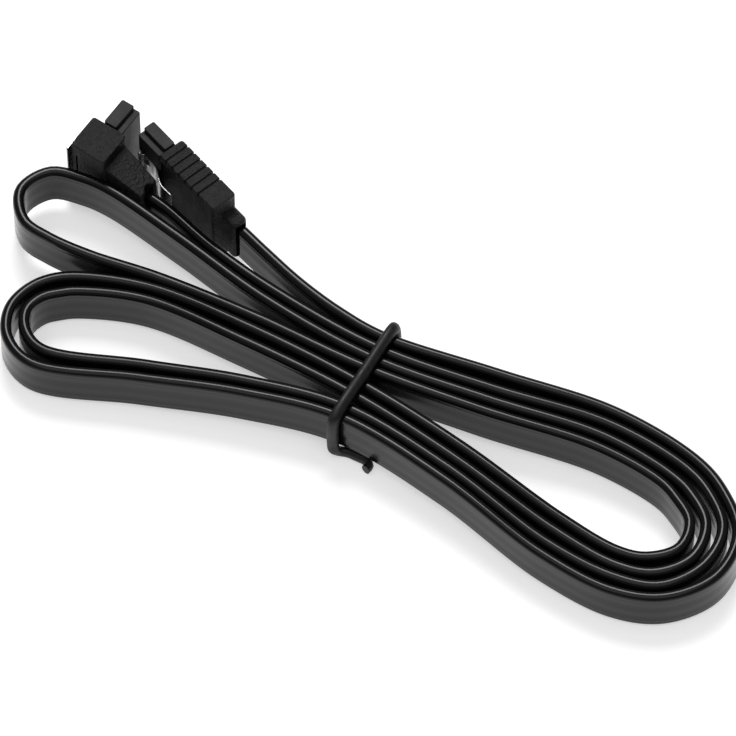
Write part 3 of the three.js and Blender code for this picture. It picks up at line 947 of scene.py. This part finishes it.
    def latch(self) -> bpy.types.Object:
        """Bends the latch strip, widens its tab and presses its dimple.

        Returns:
            The latch.
        """
        line = self.latch_line()
        form = self.latch_form
        made = bmesh.new()
        bmesh.ops.create_grid(made, x_segments=len(line) - 1, y_segments=20, size=0.5)
        root = self.latch_tab_length - form.rear
        for vert in made.verts:
            index = min(round((vert.co.x + 0.5) * (len(line) - 1)), len(line) - 1)
            x, y = line[index]
            along_tip = (x - self.nose_form.length + self.tip_taper_length) / self.tip_taper_length
            taper = self.tip_taper * max(0.0, along_tip)
            width = form.tab_width if x < root else self.latch_width * (1 - taper)
            z = self.width / 2 + width * vert.co.y
            away = math.hypot(x - self.dimple_x, z - self.width / 2 - self.dimple_above_middle)
            vert.co = (x, y + self.dimple_height * math.exp(-((away / self.dimple_spread) ** 2)), z)
        bmesh.ops.recalc_face_normals(made, faces=made.faces)
        if sum(f.normal.y for f in made.faces) < 0:
            bmesh.ops.reverse_faces(made, faces=made.faces)
        bmesh.ops.solidify(made, geom=made.faces, thickness=-self.latch_thickness)
        bmesh.ops.recalc_face_normals(made, faces=made.faces)
        latch = object_of(made, f"{self.side.value}_latch_strip")
        soften(latch, self.latch_rim, 2, 60.0)
        return self.register(latch, SteelFinish(), "latch", "steel")

    def tenon_pocket(self) -> bpy.types.Object:
        """Makes the cutter for the pocket that takes the nose's tenon."""
        inset = self.tenon_inset - self.fit
        return block(
            (-self.tenon_length - self.fit, self.tenon_bottom - self.fit, inset),
            (1.0, self.tenon_top + self.fit, self.width - inset),
        )

    def contacts(self) -> int:
        """Dresses the seven spring contacts, which are the solids themselves.

        Returns:
            How many were dressed.
        """
        names = [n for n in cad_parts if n.startswith(f"{self.side.value}_contact")]
        for name in names:
            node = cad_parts[name]
            node.data.materials.clear()
            node.data.materials.append(GoldFinish().material())
        return len(names)


@dataclass
class StraightPlug(Plug):
    """The plug in line with its ribbon, with grip ribs around its narrow sides."""

    side: Handed = Handed.STRAIGHT
    x: float = -41.68
    y: float = 17.27
    heading: float = 155.0
    shell_half: float = 2.2
    nose_form: Nose = Nose(5.3, -1.25, 2.0, -1.05, 0.9, 1)
    latch_form: LatchForm = LatchForm(-1.8, 4.1, 1.05, 4.4)
    outward: Point = (-1.0, 0.0, 0.0)
    exit_lift: float = 2.2
    length: float = 12.6
    corner: float = 0.5
    edge: float = 0.28
    rim: float = 0.15
    grip_count: int = 6
    grip_first: float = 1.3
    grip_pitch: float = 1.5
    grip_width: float = 0.35
    grip_depth: float = 0.3
    grip_wrap: float = 1.2
    grip_slope: float = 0.35
    recess_depth: float = 0.3
    recess_margin: float = 1.5
    recess_rear: float = 0.5
    latch_recess_length: float = 7.3
    latch_recess_depth: float = 0.35
    relief_length: float = 2.8
    relief_thickness: float = 2.7
    relief_bottom: float = 1.9
    relief_top: float = 11.1
    relief_lift: float = 0.03
    relief_corner: float = 0.85
    relief_edge: float = 0.75
    mouth_half: float = 0.98
    mouth_depth: float = 0.6
    mouth_bottom: float = 2.1
    mouth_top: float = 10.4

    def own_exit(self) -> Vector:
        """Gives the middle of the relief's end."""
        middle = self.relief_thickness / 2 - self.shell_half
        return Vector((-self.length - self.relief_length, middle, 0.0))

    def grip_cutters(self) -> list[bpy.types.Object]:
        """Makes a cutter for each groove, which wraps from the narrow side onto both wide sides."""
        half, depth, slope = self.shell_half, self.grip_depth, self.grip_slope
        out = half + 1.0
        cutters = []
        for i in range(self.grip_count):
            x = -(self.grip_first + i * self.grip_pitch)
            for foot, tip in ((self.width - self.grip_wrap, 1.0), (self.grip_wrap, -1.0)):
                face = self.width if tip > 0 else 0.0
                outline = [
                    (-out, face + tip), (-out, foot), (-half + depth, foot + slope * tip),
                    (-half + depth, face - depth * tip), (half - depth, face - depth * tip),
                    (half - depth, foot + slope * tip), (out, foot), (out, face + tip),
                ]
                cutters.append(prism(outline, x - self.grip_width, self.grip_width))
        return cutters

    def shell(self) -> bpy.types.Object:
        """Makes the moulded shell with its ribs, recesses and strain relief.

        Returns:
            The shell.
        """
        half, top = self.shell_half, self.width - self.recess_margin
        shell = rounded_block(
            (-self.length, -half, 0.0), (0.0, half, self.width),
            self.corner, self.edge, "straight_body",
        )
        combine(shell, self.grip_cutters(), Cut.CARVE)
        rear = self.recess_rear - self.length
        combine(shell, [
            block((rear, half - self.recess_depth, self.recess_margin), (1.0, half + 1, top)),
            block((rear, -half - 1, self.recess_margin), (1.0, self.recess_depth - half, top)),
            block((-self.latch_recess_length, half - self.recess_depth - self.latch_recess_depth,
                   self.recess_margin), (1.0, half + 1, top)),
        ], Cut.CARVE)
        soften(shell, self.rim, 3, 40.0)
        end = self.own_exit()
        relief = rounded_block(
            (end.x, -half + self.relief_lift, self.relief_bottom),
            (-self.length + 1.0, self.relief_thickness - half, self.relief_top),
            self.relief_corner, self.relief_edge, "relief",
        )
        mouth = block(
            (end.x - 1.0, end.y - self.mouth_half, self.mouth_bottom),
            (end.x + self.mouth_depth, end.y + self.mouth_half, self.mouth_top),
        )
        combine(shell, [relief], Cut.JOIN)
        combine(shell, [mouth, self.tenon_pocket()], Cut.CARVE)
        return self.register(shell, MouldedFinish(), "shell", "moulding")


@dataclass
class AnglePlug(Plug):
    """The plug whose ribbon leaves through an arm on its side."""

    side: Handed = Handed.ANGLE
    x: float = -51.45
    y: float = 16.85
    heading: float = 80.3
    shell_half: float = 3.05
    nose_form: Nose = Nose(5.0, -1.95, 1.45, -0.85, 1.35, -1)
    latch_form: LatchForm = LatchForm(0.3, 6.4, 0.2, 12.6)
    outward: Point = (0.0, -1.0, 0.0)
    exit_lift: float = 0.8
    length: float = 6.0
    corner: float = 0.45
    edge: float = 0.25
    rim: float = 0.05
    slit_from_latch_side: float = 0.95
    slit_width: float = 0.3
    slit_depth: float = 0.4
    slit_bottom: float = 2.3
    slit_top: float = 12.2
    arm_reach: float = 6.4
    arm_sink: float = 0.5
    arm_skew: float = 0.2
    arm_bottom: float = 0.3
    arm_root_top: float = 12.4
    arm_end_top: float = 10.0
    arm_edge: float = 0.22
    arm_root: tuple[float, float] = (-5.55, -0.35)
    arm_end: tuple[float, float] = (-5.45, -1.7)
    mouth_half: float = 1.05
    mouth_depth: float = 0.7
    mouth_bottom: float = 0.75
    mouth_top: float = 9.1
    notch_aside: float = 0.1
    notch_inward: float = 0.35
    notch_middle: float = 9.6
    notch_height: float = 3.0

    def own_exit(self) -> Vector:
        """Gives the middle of the arm's end."""
        return Vector((sum(self.arm_end) / 2, -self.shell_half - self.arm_reach, 0.0))

    def arm(self) -> bpy.types.Object:
        """Makes the tapered arm from a block whose corners are drawn in.

        Returns:
            The arm.
        """
        root, end = self.arm_sink - self.shell_half, -self.shell_half - self.arm_reach
        arm = bmesh.new()
        bmesh.ops.create_cube(arm, size=2.0)
        for vert in arm.verts:
            far = vert.co.y < 0
            back, front = self.arm_end if far else self.arm_root
            x, slant = (front, -self.arm_skew / 2) if vert.co.x > 0 else (back, self.arm_skew / 2)
            top = self.arm_end_top if far else self.arm_root_top
            vert.co = (x, end + slant if far else root, top if vert.co.z > 0 else self.arm_bottom)
        bmesh.ops.bevel(
            arm, geom=list(arm.edges), offset=self.arm_edge, segments=3, profile=0.5,
            affect="EDGES", material=-1,
        )
        return object_of(arm, "arm")

    def shell(self) -> bpy.types.Object:
        """Makes the moulded block with its slit and its arm.

        Returns:
            The shell.
        """
        half = self.shell_half
        shell = rounded_block(
            (-self.length, -half, 0.0), (0.0, half, self.width),
            self.corner, self.edge, "angle_body",
        )
        slit = half - self.slit_from_latch_side
        combine(shell, [block(
            (-self.length - 1, slit - self.slit_width, self.slit_bottom),
            (self.slit_depth - self.length, slit, self.slit_top),
        )], Cut.CARVE)
        combine(shell, [self.arm()], Cut.JOIN)
        end = self.own_exit()
        mouth = block(
            (end.x - self.mouth_half, end.y - 1.0, self.mouth_bottom),
            (end.x + self.mouth_half, end.y + self.mouth_depth, self.mouth_top),
        )
        notch = cylinder(
            (end.x + self.notch_aside, end.y - self.notch_inward, self.notch_middle),
            self.mouth_half, self.notch_height,
        )
        combine(shell, [mouth, notch, self.tenon_pocket()], Cut.CARVE)
        soften(shell, self.rim, 2, 50.0)
        return self.register(shell, MouldedFinish(), "shell", "moulding")


@dataclass
class Studio:
    """The white paper, the soft lights and the long lens of the product photograph."""

    elevation: float = 59.0
    sight_heading: float = 25.0
    frame_width: float = 109.04
    lens: float = 400.0
    sensor: float = 36.0
    aim: Point = (-2.6, 2.8, 0.0)
    room: float = 0.2

    def camera(self) -> bpy.types.Object:
        """Sets the camera far off on a long lens, so that the view hardly converges.

        Returns:
            The camera.
        """
        data = bpy.data.cameras.new("camera")
        data.lens, data.sensor_width = self.lens, self.sensor
        data.clip_start, data.clip_end = 0.01, 20.0
        distance = self.frame_width * self.lens / self.sensor * MM
        level, turn = math.radians(self.elevation), math.radians(self.sight_heading)
        sight = Vector((
            -math.sin(turn) * math.cos(level), math.cos(turn) * math.cos(level), -math.sin(level),
        ))
        aim = (Vector(self.aim) + HANK_SHIFT) * MM
        camera = bpy.data.objects.new("camera", data)
        camera.location = aim - sight * distance
        camera.rotation_euler = sight.to_track_quat("-Z", "Y").to_euler()
        bpy.context.scene.collection.objects.link(camera)
        bpy.context.scene.camera = camera
        return camera

    def floor(self) -> bpy.types.Object:
        """Lays the paper.

        Returns:
            The floor.
        """
        sheet = bmesh.new()
        bmesh.ops.create_grid(sheet, x_segments=2, y_segments=2, size=2.0)
        floor = object_of(sheet, "paper")
        floor.data.materials.append(PaperFinish().material())
        return floor

    def softbox(self, name: str, place: Point, size: float, power: float) -> bpy.types.Object:
        """Hangs a soft light that looks at the cable.

        Args:
            name: Its name.
            place: Where it hangs, in metres.
            size: The side of its square, in metres.
            power: Its power in watts.

        Returns:
            The light.
        """
        data = bpy.data.lights.new(name, "AREA")
        data.shape = "SQUARE"
        data.size = size
        data.energy = power
        light = bpy.data.objects.new(name, data)
        light.location = place
        light.rotation_euler = (-Vector(place)).to_track_quat("-Z", "Y").to_euler()
        bpy.context.scene.collection.objects.link(light)
        return light

    def lights(self) -> None:
        """Hangs the lights and makes the room white."""
        world = bpy.data.worlds.new("white_room")
        world.use_nodes = True
        sky = world.node_tree.nodes["Background"]
        sky.inputs["Color"].default_value = (1.0, 1.0, 1.0, 1.0)
        sky.inputs["Strength"].default_value = self.room
        bpy.context.scene.world = world
        bpy.context.scene.view_settings.view_transform = "Standard"
        self.softbox("behind", (-0.196, 0.42, 0.771), 0.36, 4.2)
        self.softbox("overhead", (0.1, -0.25, 1.2), 1.2, 3.8)

    def build(self) -> None:
        """Sets up the whole studio."""
        self.camera()
        self.floor()
        self.lights()


def main() -> None:
    """Builds the scene and reports each piece."""
    logging.basicConfig(level=logging.INFO, format="%(name)s: %(message)s")
    studio = Studio()
    studio.build()
    plugs = (StraightPlug(), AnglePlug())
    cable = RibbonCable(*(plug.ribbon_end() for plug in plugs))
    ribbon = cable.build()
    log.info("ribbon, %d faces", len(ribbon.data.polygons))
    tie = TwistTie(cable).build()
    log.info("tie, %d faces", len(tie.data.polygons))
    for plug in plugs:
        for piece in (plug.shell(), plug.nose(), plug.latch()):
            log.info("%s, %d faces", piece.name, len(piece.data.polygons))
        log.info("%s plug, %d contacts", plug.side.value, plug.contacts())


if __name__ == "__main__":
    main()
